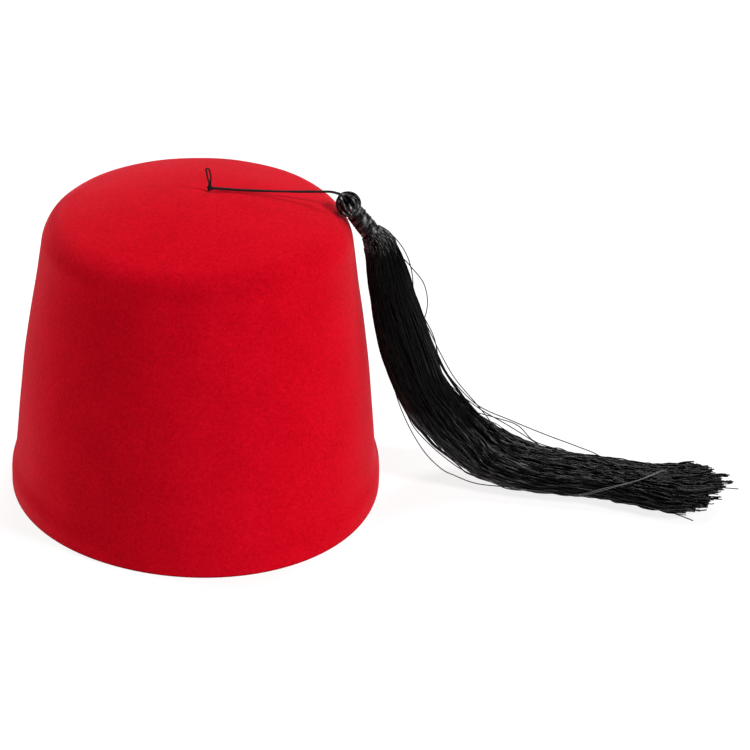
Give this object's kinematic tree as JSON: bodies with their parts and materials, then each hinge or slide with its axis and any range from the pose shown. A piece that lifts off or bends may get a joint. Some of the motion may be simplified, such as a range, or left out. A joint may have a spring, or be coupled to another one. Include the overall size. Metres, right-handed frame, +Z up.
{
  "type": "fez hat",
  "caption": "Red felt fez with an oval open rim, a leaning wall and a gently domed top, and a black tassel on a short cord that hangs beside it and lies on the table.",
  "frame": {"origin": "on the table, under the middle of the rim, without the tassel and its cord", "axes": "+Z up through the crown, +X to the side where the tassel hangs, +Y to the back of the hat, along the longer width of the oval rim"},
  "size_m": [0.3324, 0.2029, 0.1535],
  "materials": {
    "red_felt": "pressed wool felt, matte with a soft fuzz",
    "black_rayon": "glossy rayon strands",
    "black_thread": "twisted thread"
  },
  "bodies": {
    "root": {"felt_crown": "red_felt", "top_loop": "black_thread", "anchor_knot": "black_thread", "tassel_cord": "black_thread", "tassel_head": "black_rayon", "neck_binding": "black_rayon", "tassel_skirt": "black_rayon"}
  },
  "joints": []
}
